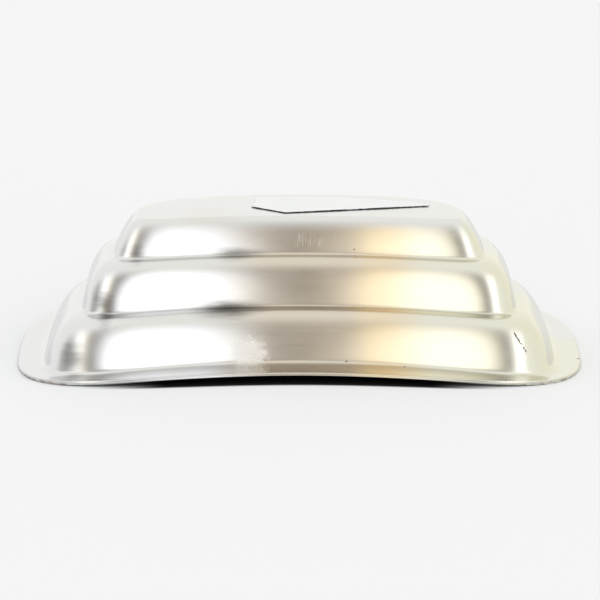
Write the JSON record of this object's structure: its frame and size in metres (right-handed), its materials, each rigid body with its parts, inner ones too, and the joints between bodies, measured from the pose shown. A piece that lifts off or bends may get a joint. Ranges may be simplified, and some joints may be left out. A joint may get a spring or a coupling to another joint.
{
  "type": "kidney dish",
  "caption": "Steel kidney dish with three stepped tiers, a flat flange with a hemmed edge and a blank film label on its base, lying upside down on its rim.",
  "frame": {"origin": "centre of the bounding box at floor level: the dish lies upside down, so its rim is at z = 0 and its base is at the top", "axes": "+X along the length, -Y towards the hollow side of the kidney, +Z from the rim to the base"},
  "size_m": [0.254, 0.1655, 0.0605],
  "materials": {
    "satin_steel": "satin pressed stainless steel with fine scratches",
    "label_film": "thin pale film, blank"
  },
  "bodies": {
    "root": {"dish": "satin_steel", "base_label": "label_film"}
  },
  "joints": []
}
